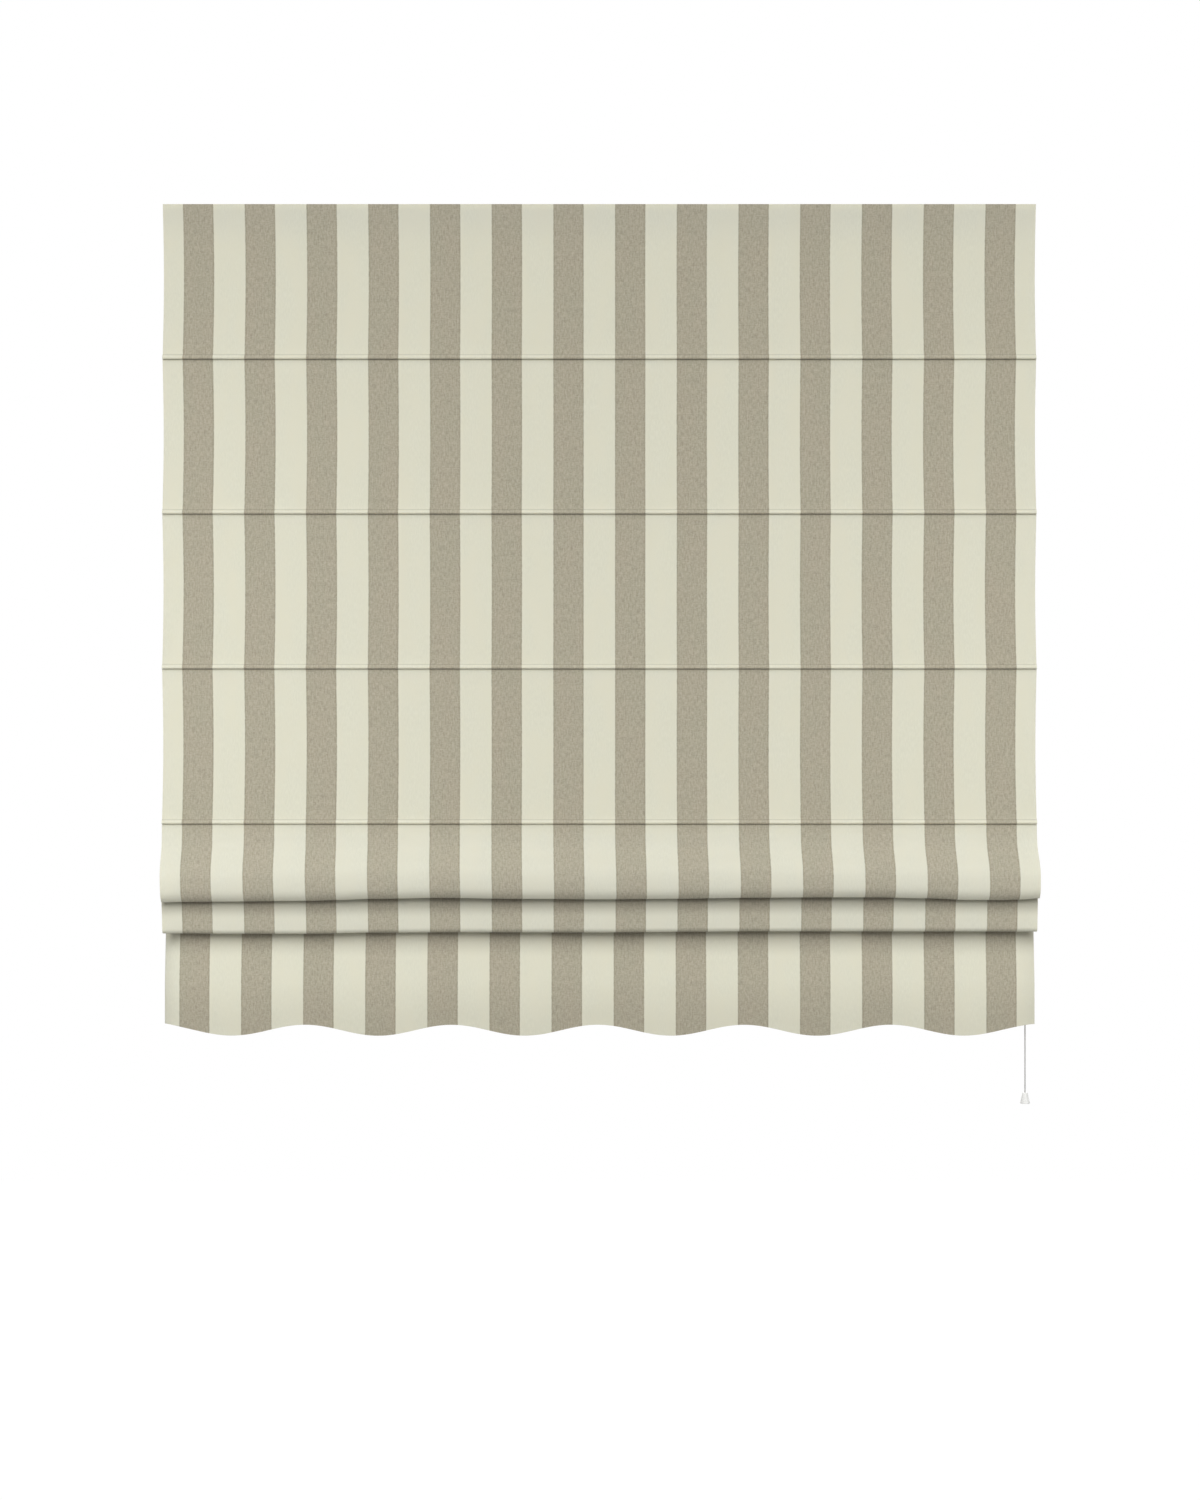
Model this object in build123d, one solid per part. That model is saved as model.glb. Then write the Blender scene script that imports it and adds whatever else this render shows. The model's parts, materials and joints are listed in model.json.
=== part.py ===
from build123d import *
from math import cos, pi, radians, sin, tan
import os

# Roman blind, screwed to an upright face and partly raised: the cord lock holds its two lowest folds up.
# X runs across the blind, -Y faces the viewer, +Z is up. The face behind it is the plane Y = 0, and the
# origin is the middle bracket's screw pattern on that plane. All sizes are millimetres.

os.makedirs("parts", exist_ok=True)

# Face cloth
cloth_width = 1400.0
cloth_thick = 1.0
cloth_rise = 5.0            # top edge above the headrail, so that the brackets stay hidden
first_drop = 249.0          # top edge down to the first tuck
tuck_pitch = 248.2
tuck_count = 4
tuck_lean = 2.0             # how much further forward each tuck hangs than the one above it
lip_proud = 3.5             # how far a tuck's lip stands proud of the panel below it
lip_height = 9.0
ply_gap = 0.3               # air between two plies that lie on each other
seam_radius = 1.0           # the bend of one ply in a seam
pocket_flare = 1.36         # from a rod's middle to its seam, as a share of the pocket's radius
pocket_shoulder = 0.35      # and to where its round part starts
crest_back = 3.5            # how far the first drawn-up rod's plies hang behind the last tuck
crest_step = 1.4            # and how far each further rod's plies hang behind those of the rod above
stack_pitch = 15.0          # height between two rods that are drawn up together

# Folds and flounce, as depths in front of the top of the cloth and heights under the last tuck
fold_depth = 53.0
fold_drop = 120.4
fold_width = 18.0
under_fold_depth = 33.0
under_fold_drop = 174.4
under_fold_width = 14.0
swing_start = 0.3           # share of the first fold's drop where the cloth starts to swing forward
swing_end = 0.63            # and where it is furthest forward
swing_slack = 7.0           # its depth beyond the panel above, where the swing starts
swing_bend = 15.0
roll_depth = 10.0           # the first fold's rounded front corner: how far it goes back
roll_height = 8.0           # and down
roll_bend = 20.0
fold_bend = 5.0
rear_rise = 20.0            # height over which a fold's rear ply goes straight up
rear_bend = 25.0
gather = 7.0                # how far in front of its crest a rear ply starts to close up
gather_front = 4.2          # and the plies that come down in front of the next fold
flounce_depth = 24.0
flounce_bend = 120.0
flounce_drop = 337.0        # to the hem's lowest points
scallop_count = 6
scallop_height = 17.4
flat_rest = 0.1             # straight left between two arcs that make a half round

# Headrail
back_gap = 5.0
rail_depth = 24.0
rail_height = 28.0
rail_wall = 1.2
rail_inset = 6.0            # cloth edge to the rail's cut end
rail_corner = 1.5
top_slot = 9.0
bottom_slot = 12.0
top_channel = 9.8
tape_thick = 1.2
tape_height = 20.0
tape_inset = 2.0
cap_thick = 2.0
cap_plug = 3.0
cap_chamfer = 0.5
fit_gap = 0.2

# Brackets
bracket_inset = 200.0       # cloth edge to the outer brackets' middles
bracket_width = 22.0
bracket_thick = 1.6
bracket_reach = 22.0
bracket_drop = 13.0
bracket_corner = 2.0
screw_radius = 2.25
screw_spacing = 12.0
lever_thick = 1.5
lever_gap = 0.3
lever_length = 13.8
lever_width = 6.0
lever_pin_radius = 2.0
lever_neck_radius = 3.2
rivet_lip = 0.9
rivet_height = 0.6
rivet_gap = 0.1
wing_length = 15.0
wing_thick = 3.0
wing_corner = 1.5
pin_clearance = 0.05

# Cords, rods and rings
column_inset = 100.0        # cloth edge to the outer lift cords
column_count = 4
cord_radius = 0.6
cord_clear = 0.05
cord_lean = 1.0             # how far a lift cord's end hangs forward of its pulley
lane_pitch = 1.4
rod_radius = 2.0
weight_radius = 2.5
tip_wall = 0.45
tip_length = 12.0
tip_inset = 1.0
tip_end = 2.0
pocket_room = 0.1           # between a rod's tip and the inside of its pocket
ring_radius = 4.5
ring_wire = 1.0
ring_gap = 0.1
stop_radius = 4.8
stop_height = 10.0
stop_round = 2.4
stop_bore_depth = 7.0

# Cord guides and their pulleys
run_height = -1.5           # the cords' height inside the headrail
pulley_radius = 4.0
pulley_flange = 0.9
pulley_width = 8.0
pulley_rim = 0.8
pin_radius = 1.0
guide_length = 27.0
guide_lead = 3.0            # base beyond the nozzle
guide_base = 1.5
guide_corner = 2.0
cheek_wall = 2.0
cheek_top = 2.6             # cheek above the pulley's pin
side_gap = 0.2
nozzle_radius = 5.0
nozzle_drop = 3.0
nozzle_bore = 3.2
nozzle_chamfer = 1.0

# Cord lock
pull_inset = 15.0           # cloth edge to the pull cord
lock_pulley_radius = 6.0
lock_pin_radius = 1.25
lock_length = 28.0
lock_end = 5.0              # behind the pull cord
lock_drop = 12.0            # under the headrail
lock_cheek = 1.6
lock_shoulder = 6.0         # the housing's end to its narrow hanging part
lock_end_wall = 2.0
lock_corner = 1.5
roller_radius = 3.2
roller_drop = 10.2          # roller under the lock pulley's pin
roller_pin_radius = 1.2
roller_travel = 4.0
roller_slope = 25.0
knurl_count = 24
knurl_depth = 0.25

# Pull cord
connector_drop = 540.0      # under the cloth's top edge
connector_radius = 5.0
connector_length = 24.0
connector_round = 2.0
connector_bore_depth = 8.0
pull_radius = 1.1
tassel_bottom = 1444.0
tassel_height = 17.6
tassel_top_radius = 4.0
tassel_radius = 7.7
tassel_bore_depth = 9.0
tassel_recess = 2.0
tassel_skirt = 1.5
tassel_round = 0.8

# Heights and depths that follow from these
rail_top = rail_height / 2
rail_bottom = -rail_height / 2
rail_mid = -(back_gap + rail_depth / 2)
rail_front = -(back_gap + rail_depth)
rail_length = cloth_width - 2 * rail_inset
top_edge = rail_top + cloth_rise
cloth_mid = rail_front - 2 * tape_thick - cloth_thick / 2
ply_pitch = cloth_thick + ply_gap
first_seam = top_edge - first_drop + cloth_thick / 2
last_line = top_edge - first_drop - (tuck_count - 1) * tuck_pitch
rod_count = tuck_count + 2
outer_column = cloth_width / 2 - column_inset
columns = [outer_column * (2 * i / (column_count - 1) - 1) for i in range(column_count)]
pull_x = cloth_width / 2 - pull_inset
lanes = [rail_mid + (i - (column_count - 1) / 2) * lane_pitch for i in range(column_count)]


def save(shape, node):
    export_step(shape, f"parts/{node}.step")


def cylinder(centre, direction, radius, length):
    """A cylinder centred on a point, along a direction."""
    return Plane(origin=centre, z_dir=direction) * Cylinder(radius, length)


def block(low, high):
    size = [b - a for a, b in zip(low, high)]
    middle = [(a + b) / 2 for a, b in zip(low, high)]
    return Pos(*middle) * Box(*size)


def rod_in(rod):
    """The radius of one rod, counted from 1 at the top: the lowest is a weight."""
    return weight_radius if rod == rod_count else rod_radius


def pocket_radius(rod):
    """The radius of the middle of the cloth where it wraps one rod."""
    return rod_in(rod) + tip_wall + pin_clearance + pocket_room + cloth_thick / 2


def seam_height(rod):
    """The upper ply's height where the cloth turns back into one rod's pocket."""
    tucks = min(rod, tuck_count)
    drawn_up = rod - tucks
    return first_seam - (tucks - 1) * tuck_pitch - drawn_up * stack_pitch


def plane_depth(rod):
    """How far forward the cloth hangs just under one rod."""
    if rod <= tuck_count:
        return tuck_lean * rod
    return tuck_lean * tuck_count - crest_back - crest_step * (rod - tuck_count - 1)


def pocket_centre(rod):
    """Depth and height of one rod's middle, far enough forward that its rings hang on the lift cords."""
    height = seam_height(rod) - ply_pitch / 2
    back = cloth_mid - cord_y(height)
    return back + ring_radius + ring_wire + ring_gap + cloth_thick / 2 + pocket_radius(rod), height


def cord_y(height):
    """Where the middle of the lift cords' lanes is at a height: they hang nearly plumb."""
    end = seam_height(rod_count)
    return rail_mid - cord_lean * (run_height - height) / (run_height - end)


def pocket(rod):
    """The corners of the ply that leaves the seam, wraps the rod and comes back under itself."""
    depth, height = pocket_centre(rod)
    r = pocket_radius(rod)
    mouth, shoulder, back = depth + pocket_flare * r, depth + pocket_shoulder * r, depth - r
    round_back = r - flat_rest / 2
    return [
        (mouth, height + ply_pitch / 2, seam_radius),
        (shoulder, height + r, r / 2),
        (back, height + r, round_back),
        (back, height - r, round_back),
        (shoulder, height - r, r / 2),
        (mouth, height - ply_pitch / 2, seam_radius),
    ]


def turn_down(rod):
    return plane_depth(rod), seam_height(rod) - ply_pitch, seam_radius


def tuck(rod):
    """A panel's lip, its rod pocket and the turn down into the next panel."""
    depth, height = plane_depth(rod), seam_height(rod)
    return [
        (depth, height + lip_height, 2 * lip_height),
        (depth + lip_proud, height + lip_height / 3, lip_proud),
        (depth + lip_proud, height, lip_proud / 2),
        *pocket(rod),
        turn_down(rod),
    ]


def crest(rod):
    """A drawn-up rod: the cloth comes up in front, wraps the rod and hangs down behind itself."""
    return [
        (plane_depth(rod) + ply_pitch, seam_height(rod), seam_radius + ply_pitch),
        *pocket(rod),
        turn_down(rod),
    ]


def folds():
    """The two hanging folds, with the crests between them, and the flounce."""
    first, second = tuck_count + 1, tuck_count + 2
    depth = plane_depth(tuck_count)
    crest_1, crest_2 = plane_depth(first), plane_depth(second)
    fold_end = last_line - fold_drop + cloth_thick / 2
    under_end = last_line - under_fold_drop + cloth_thick / 2
    back = fold_depth - fold_width
    under_back = under_fold_depth - under_fold_width
    under_turn = under_fold_width / 2 - flat_rest
    closing_1, closing_2 = seam_height(first) - 2 * stack_pitch, seam_height(second) - 2 * stack_pitch
    return [
        (depth + cloth_thick, last_line - stack_pitch, rear_bend),
        (depth + swing_slack, last_line - swing_start * fold_drop, rear_bend),
        (fold_depth, last_line - swing_end * fold_drop, swing_bend),
        (fold_depth, fold_end + roll_height, roll_bend),
        (fold_depth - roll_depth, fold_end, fold_bend),
        (back, fold_end, fold_bend),
        (back, fold_end + rear_rise, rear_bend),
        (crest_1 + gather, closing_1, rear_bend),
        *crest(first),
        (crest_1 + gather_front, closing_1, rear_bend),
        (under_fold_depth, fold_end - stack_pitch / 2, swing_bend),
        (under_fold_depth, under_end, under_turn),
        (under_back, under_end, under_turn),
        (under_back, under_end + rear_rise, rear_bend),
        (crest_2 + gather_front, closing_2, rear_bend),
        *crest(second),
        (crest_2 + gather_front / 2, closing_2, rear_bend),
        (under_back - gather_front, under_end, flounce_bend / 2),
        (flounce_depth, last_line - (under_fold_drop + flounce_drop) / 2, flounce_bend),
        (flounce_depth, last_line - flounce_drop, 0),
    ]


def rounded_side(corners, offset):
    """The edges of a rounded polyline, moved sideways by an offset: straight runs and tangent arcs."""
    edges, last = [], None
    for i, (x, z, radius) in enumerate(corners):
        here = Vector(x, z)
        before = (here - Vector(*corners[i - 1][:2])).normalized() if i else None
        after = (Vector(*corners[i + 1][:2]) - here).normalized() if i + 1 < len(corners) else None
        if before is None or after is None:
            along = after or before
            stop = here + Vector(-along.Y, along.X) * offset
            if last is not None:
                edges.append(Line(last, stop))
            last = stop
            continue
        turn = before.X * after.Y - before.Y * after.X
        side = 1 if turn > 0 else -1
        half = radians(before.get_angle(after)) / 2
        reach = radius * tan(half)
        centre = here - before * reach + Vector(-before.Y, before.X) * radius * side
        r = radius - side * offset
        start = centre + Vector(before.Y, -before.X) * r * side
        middle = centre - (after - before).normalized() * r
        end = centre + Vector(after.Y, -after.X) * r * side
        if last is not None and (start - last).length > 1e-4:
            edges.append(Line(last, start))
        edges.append(ThreePointArc(start, middle, end))
        last = end
    return edges


def ribbon(corners, thickness):
    """The section of a sheet whose middle follows the rounded corners."""
    left = rounded_side(corners, thickness / 2)
    right = rounded_side(corners, -thickness / 2)
    ends = [Line(left[0] @ 0, right[0] @ 0), Line(left[-1] @ 1, right[-1] @ 1)]
    return make_face(left + right + ends)


def scallops():
    """What is cut away under the wavy hem: arcs that meet where the wave turns over."""
    half = cloth_width / scallop_count / 2
    middle = last_line - flounce_drop + scallop_height / 2
    rise = scallop_height / 2
    wave = []
    count = 2 * scallop_count + 1
    for i in range(count):
        peak_x = -cloth_width / 2 + i * half
        peak_z = middle + (rise if i % 2 == 0 else -rise)
        start, end = (peak_x - half / 2, middle), (peak_x + half / 2, middle)
        wave.append(ThreePointArc(start, (peak_x, peak_z), end))
    left, right = wave[0] @ 0, wave[-1] @ 1
    floor = middle - 2 * scallop_height
    box = Polyline(left, (left.X, floor), (right.X, floor), right)
    return extrude(Plane.XZ * make_face([*wave, *box.edges()]), amount=2 * fold_depth, both=True)


def face_fabric():
    corners = [(0, top_edge, 0)]
    for rod in range(1, tuck_count + 1):
        corners += tuck(rod)
    corners += folds()
    section = ribbon([(cloth_mid - depth, height, r) for depth, height, r in corners], cloth_thick)
    sheet = extrude(Plane.YZ * section, amount=cloth_width / 2, both=True)
    return sheet - scallops()


def headrail():
    """An extrusion with a channel on top for the brackets and one below for the cords."""
    inner = rail_depth - 2 * rail_wall
    web = rail_top - rail_wall - top_channel
    lower = web - rail_wall - (rail_bottom + rail_wall)
    outline = fillet(Rectangle(rail_depth, rail_height).vertices(), rail_corner)
    upper_room = Pos(0, web + top_channel / 2) * Rectangle(inner, top_channel)
    lower_room = Pos(0, rail_bottom + rail_wall + lower / 2) * Rectangle(inner, lower)
    slots = Pos(0, rail_top) * Rectangle(top_slot, 4 * rail_wall)
    slots += Pos(0, rail_bottom) * Rectangle(bottom_slot, 4 * rail_wall)
    section = outline - upper_room - lower_room - slots
    return extrude(Plane.YZ * Pos(rail_mid, 0) * section, amount=rail_length / 2, both=True)


def end_cap(side):
    """A plate over the rail's end, with a rib that plugs each channel."""
    plate = Plane.YZ * Pos(rail_mid, 0) * fillet(Rectangle(rail_depth, rail_height).vertices(), rail_corner)
    cap = Pos(rail_length / 2, 0, 0) * extrude(plate, amount=cap_thick)
    cap = chamfer(cap.faces().sort_by(Axis.X)[-1].edges(), cap_chamfer)
    inner = rail_depth / 2 - rail_wall - fit_gap
    web = rail_top - rail_wall - top_channel
    start, stop = rail_length / 2 - cap_plug, rail_length / 2
    channels = [
        (web + fit_gap, rail_top - rail_wall - fit_gap),
        (channel_floor() + fit_gap, web - rail_wall - fit_gap),
    ]
    for low, high in channels:
        cap += block((start, rail_mid - inner, low), (stop, rail_mid + inner, high))
    return cap if side > 0 else mirror(cap, about=Plane.YZ)


def tape(front, inset):
    """One half of the hook and loop closure, on the front of the face it is fixed to."""
    half = cloth_width / 2 - inset
    return block((-half, front - tape_thick, -tape_height / 2), (half, front, tape_height / 2))


def flange_bottom():
    return rail_top + 2 * lever_gap + lever_thick


def bracket(x):
    """An angle plate: the upright leg takes the screws, the flat leg carries the lever."""
    under = flange_bottom()
    half = bracket_width / 2
    leg = block((-half, -bracket_thick, -bracket_drop), (half, 0, under + bracket_thick))
    reach = rail_mid - bracket_reach / 2
    flange = block((-half, reach, under), (half, 0, under + bracket_thick))
    plate = leg + flange
    corners = plate.edges().filter_by(Axis.Z).group_by(Axis.Y)[0]
    plate = fillet(corners, bracket_corner)
    feet = plate.edges().filter_by(Axis.Y).group_by(Axis.Z)[0]
    plate = fillet(feet, bracket_corner)
    for side in (-1, 1):
        plate -= cylinder((side * screw_spacing / 2, 0, 0), (0, 1, 0), screw_radius, 4 * bracket_thick)
    plate -= cylinder((0, rail_mid, under), (0, 0, 1), lever_pin_radius + pin_clearance, 4 * bracket_thick)
    return Pos(x, 0, 0) * plate


def bracket_lever(x):
    """A swivel lever: its wings lie under the rail's slot, and its pin is riveted in the bracket."""
    handle_low = rail_top + lever_gap
    handle_high = handle_low + lever_thick
    wing_top = rail_top - rail_wall - rivet_gap
    wing_low = wing_top - wing_thick
    rivet_top = flange_bottom() + bracket_thick + rivet_gap
    half, reach, up = lever_width / 2, wing_length / 2, (0, 0, 1)
    handle = block((-half, -half, handle_low), (lever_length, half, handle_high))
    handle = fillet(handle.edges().filter_by(Axis.Z), half - flat_rest)
    wings = block((-half, -reach, wing_low), (half, reach, wing_top))
    wings = fillet(wings.edges().filter_by(Axis.Z), wing_corner)
    neck = cylinder((0, 0, (wing_low + handle_high) / 2), up, lever_neck_radius, handle_high - wing_low)
    pin = cylinder((0, 0, (handle_low + rivet_top) / 2), up, lever_pin_radius, rivet_top - handle_low)
    head_middle = (0, 0, rivet_top + rivet_height / 2)
    head = cylinder(head_middle, up, lever_pin_radius + rivet_lip, rivet_height)
    return Pos(x, rail_mid, 0) * (handle + wings + neck + pin + head)


def pulley(centre, radius, width, bore):
    """A flanged pulley that turns on a pin along Y."""
    half = width / 2
    outline = Polyline(
        (bore, -half),
        (radius + pulley_flange, -half),
        (radius, -half + pulley_rim),
        (radius, half - pulley_rim),
        (radius + pulley_flange, half),
        (bore, half),
        close=True,
    )
    return Pos(*centre) * revolve(Plane.XY * make_face(outline), Axis.Y)


def bend_radius(radius):
    """The radius of a cord's middle on a pulley."""
    return radius + cord_radius + cord_clear


def guide_pulley_centre(x):
    bend = bend_radius(pulley_radius)
    return x + bend, rail_mid, run_height - bend


def guide_pulley(x):
    return pulley(guide_pulley_centre(x), pulley_radius, pulley_width, pin_radius + pin_clearance)


def channel_floor():
    return rail_bottom + rail_wall


def cord_guide(x):
    """A carriage on the rail's lower lips: a base, two cheeks for the pulley and a nozzle for the cord."""
    pin_x, y, pin_z = guide_pulley_centre(x)
    half = rail_depth / 2 - rail_wall - fit_gap
    floor = channel_floor()
    start = x - nozzle_radius - guide_lead
    base = block((start, y - half, floor), (start + guide_length, y + half, floor + guide_base))
    body = fillet(base.edges().filter_by(Axis.Z), guide_corner)
    inside = pulley_width / 2 + side_gap
    for side in (-1, 1):
        near, far = y + side * inside, y + side * (inside + cheek_wall)
        low = (pin_x - pulley_radius, min(near, far), floor)
        high = (pin_x + pulley_radius, max(near, far), pin_z + cheek_top)
        cheek = block(low, high)
        body += fillet(cheek.edges().filter_by(Axis.Y).group_by(Axis.Z)[-1], guide_corner)
    nozzle_low = rail_bottom - nozzle_drop
    nozzle = cylinder((x, y, (nozzle_low + floor) / 2), (0, 0, 1), nozzle_radius, floor - nozzle_low)
    body += chamfer(nozzle.faces().sort_by(Axis.Z)[0].edges(), nozzle_chamfer)
    body -= cylinder((x, y, floor), (0, 0, 1), nozzle_bore, 4 * (guide_base + nozzle_drop))
    return body - cylinder((pin_x, y, pin_z), (0, 1, 0), pin_radius + pin_clearance / 2, rail_depth)


def guide_pins():
    length = pulley_width + 2 * (side_gap + cheek_wall)
    return [cylinder(guide_pulley_centre(x), (0, 1, 0), pin_radius, length) for x in columns]


def lock_pulley_centre():
    bend = bend_radius(lock_pulley_radius)
    return pull_x - bend, rail_mid, run_height - bend


def roller_centre():
    x, y, z = lock_pulley_centre()
    return pull_x - cord_radius - cord_clear - roller_radius, y, z - roller_drop


def lock_pulley():
    return pulley(lock_pulley_centre(), lock_pulley_radius, pulley_width, lock_pin_radius + pin_clearance)


def lock_roller():
    """A knurled roller on two trunnions, which the cords drag up into the narrow end of its slots."""
    x, y, z = roller_centre()
    section = Circle(roller_radius)
    groove = Rectangle(2 * knurl_depth, knurl_depth)
    section -= PolarLocations(roller_radius, knurl_count) * groove
    width = pulley_width - 2 * side_gap
    roller = extrude(section, amount=width / 2, both=True)
    trunnions = Cylinder(roller_pin_radius, pulley_width + 2 * lock_cheek)
    return Plane(origin=(x, y, z), z_dir=(0, 1, 0)) * (roller + trunnions)


def cord_lock_housing():
    """The lock's body: a block on the rail's lips and a narrow part that hangs through the slot."""
    x, y, z = lock_pulley_centre()
    start, stop = pull_x + lock_end - lock_length, pull_x + lock_end
    floor, ceiling = channel_floor(), rail_top - 2 * rail_wall - top_channel - fit_gap
    half = rail_depth / 2 - rail_wall - fit_gap
    inside = pulley_width / 2 + side_gap
    narrow = inside + lock_cheek
    bottom = rail_bottom - lock_drop
    body = block((start, y - half, floor), (stop, y + half, ceiling))
    body = fillet(body.edges().filter_by(Axis.Z), lock_corner)
    neck = start + lock_shoulder
    hanging = block((neck, y - narrow, bottom), (stop, y + narrow, floor))
    body += fillet(hanging.edges().filter_by(Axis.Y).group_by(Axis.Z)[0], lock_corner)
    back = pull_x + cord_radius + cord_clear
    body -= block((start - 1, y - inside, floor), (back, y + inside, ceiling + 1))
    body -= block((neck + lock_end_wall, y - inside, bottom - 1), (back, y + inside, floor))
    body -= cylinder((x, y, z), (0, 1, 0), lock_pin_radius + pin_clearance / 2, rail_depth)
    rx, ry, rz = roller_centre()
    slope = radians(roller_slope)
    length = roller_travel + 2 * (roller_pin_radius + pin_clearance)
    slot = SlotOverall(length, 2 * (roller_pin_radius + pin_clearance), rotation=90 - roller_slope)
    middle = (rx - sin(slope) * roller_travel / 2, ry, rz - cos(slope) * roller_travel / 2)
    return body - Pos(*middle) * extrude(Plane.XZ * slot, amount=rail_depth / 2, both=True)


def lock_pulley_pin():
    length = rail_depth - 2 * rail_wall - 2 * fit_gap
    return cylinder(lock_pulley_centre(), (0, 1, 0), lock_pin_radius, length)


def rod(n):
    depth, height = pocket_centre(n)
    length = cloth_width - 2 * (tip_inset + tip_end)
    return cylinder((0, cloth_mid - depth, height), (1, 0, 0), rod_in(n), length)


def rod_tips(n):
    """A cap on each end of one rod."""
    depth, height = pocket_centre(n)
    bore = rod_in(n) + pin_clearance
    tips = []
    for side in (-1, 1):
        end = cloth_width / 2 - tip_inset
        tip = cylinder((end - tip_length / 2, 0, 0), (1, 0, 0), bore + tip_wall, tip_length)
        tip = fillet(tip.edges().sort_by(Axis.X)[-1], (bore + tip_wall) / 2)
        tip -= cylinder((end - tip_end - tip_length / 2, 0, 0), (1, 0, 0), bore, tip_length)
        tip = tip if side > 0 else mirror(tip, about=Plane.YZ)
        tips.append(Pos(0, cloth_mid - depth, height) * tip)
    return tips


def ring_centre(n):
    """Y and Z of the rings that are sewn to one rod's pocket."""
    height = pocket_centre(n)[1]
    return cord_y(height), height


def rings(n):
    y, z = ring_centre(n)
    return [Pos(x, y, z) * Torus(ring_radius, ring_wire) for x in columns]


def stop_top():
    return ring_centre(rod_count)[1] - ring_wire - ring_gap


def cord_stops():
    """The beads under the lowest rings, one at the end of each lift cord."""
    y, _ = ring_centre(rod_count)
    stops = []
    for x in columns:
        bead = cylinder((x, y, stop_top() - stop_height / 2), (0, 0, 1), stop_radius, stop_height)
        bead = fillet(bead.edges().filter_by(GeomType.CIRCLE), stop_round)
        bore = cord_radius + cord_clear
        stops.append(bead - cylinder((x, y, stop_top()), (0, 0, 1), bore, 2 * stop_bore_depth))
    return stops


def connector_top():
    return top_edge - connector_drop


def lift_cord(x, lane):
    """Up from its stop through the rings, over a pulley, along the rail, through the lock and down."""
    y, _ = ring_centre(rod_count)
    route = [
        (x, y, stop_top() - stop_bore_depth),
        (x, lane, run_height),
        (pull_x, lane, run_height),
        (pull_x, lane, connector_top() - connector_bore_depth),
    ]
    return tube(route, [bend_radius(pulley_radius), bend_radius(lock_pulley_radius)], cord_radius)


def tube(route, radii, radius):
    path = FilletPolyline(*route, radius=radii)
    section = Plane(origin=path @ 0, z_dir=path % 0) * Circle(radius)
    cord = sweep(section, path=path)
    print(f"tube of radius {radius}: bend radii {radii}, volume over section times length",
          round(cord.volume / (pi * radius**2 * path.length), 4))
    return cord


def cord_connector():
    """The barrel that joins the lift cords to the one pull cord."""
    top = connector_top()
    middle = (pull_x, rail_mid, top - connector_length / 2)
    barrel = cylinder(middle, (0, 0, 1), connector_radius, connector_length)
    barrel = fillet(barrel.edges().filter_by(GeomType.CIRCLE), connector_round)
    throat = (column_count - 1) / 2 * lane_pitch + cord_radius + cord_clear
    barrel -= cylinder((pull_x, rail_mid, top), (0, 0, 1), throat, 2 * connector_bore_depth)
    bottom = (pull_x, rail_mid, top - connector_length)
    return barrel - cylinder(bottom, (0, 0, 1), pull_radius + cord_clear, 2 * connector_bore_depth)


def pull_cord():
    """One straight run, which the tassel's weight pulls tight."""
    high = connector_top() - connector_length + connector_bore_depth
    low = top_edge - tassel_bottom + tassel_height - tassel_bore_depth
    return cylinder((pull_x, rail_mid, (high + low) / 2), (0, 0, 1), pull_radius, high - low)


def tassel():
    low = top_edge - tassel_bottom
    high = low + tassel_height
    inner = tassel_radius - tassel_skirt
    outline = Polyline(
        (0, low + tassel_recess),
        (inner, low + tassel_recess),
        (inner, low),
        (tassel_radius, low),
        (tassel_radius, low + tassel_skirt),
        (tassel_top_radius, high - tassel_round),
        (tassel_top_radius - tassel_round, high),
        (0, high),
        close=True,
    )
    bell = revolve(Plane.XZ * make_face(outline), Axis.Z)
    bell -= cylinder((0, 0, high), (0, 0, 1), pull_radius + cord_clear, 2 * tassel_bore_depth)
    return Pos(pull_x, rail_mid, 0) * bell


save(face_fabric(), "face_fabric")
save(headrail(), "headrail")
save(end_cap(-1), "end_cap_left")
save(end_cap(1), "end_cap_right")
save(tape(rail_front, rail_inset + tape_inset), "hook_tape")
save(tape(rail_front - tape_thick, tape_inset), "loop_tape")
for i, side in enumerate((-1, 0, 1), 1):
    x = side * (cloth_width / 2 - bracket_inset)
    save(bracket(x), f"bracket_{i}")
    save(bracket_lever(x), f"bracket_lever_{i}")
for i, (x, lane) in enumerate(zip(columns, lanes), 1):
    save(cord_guide(x), f"cord_guide_{i}")
    save(guide_pulley(x), f"guide_pulley_{i}")
    save(lift_cord(x, lane), f"lift_cord_{i}")
save(Compound(guide_pins()), "guide_pulley_pins")
save(cord_lock_housing(), "cord_lock_housing")
save(lock_pulley(), "lock_pulley")
save(lock_pulley_pin(), "lock_pulley_pin")
save(lock_roller(), "lock_roller")
for n in range(1, rod_count + 1):
    name = "weight_rod" if n == rod_count else f"rod_{n}"
    save(rod(n), name)
    save(Compound(rod_tips(n)), f"{name}_tips")
    save(Compound(rings(n)), f"rings_{n}")
save(Compound(cord_stops()), "cord_stops")
save(cord_connector(), "cord_connector")
save(pull_cord(), "pull_cord")
save(tassel(), "tassel")
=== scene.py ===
import bisect
import json
import math

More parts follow.
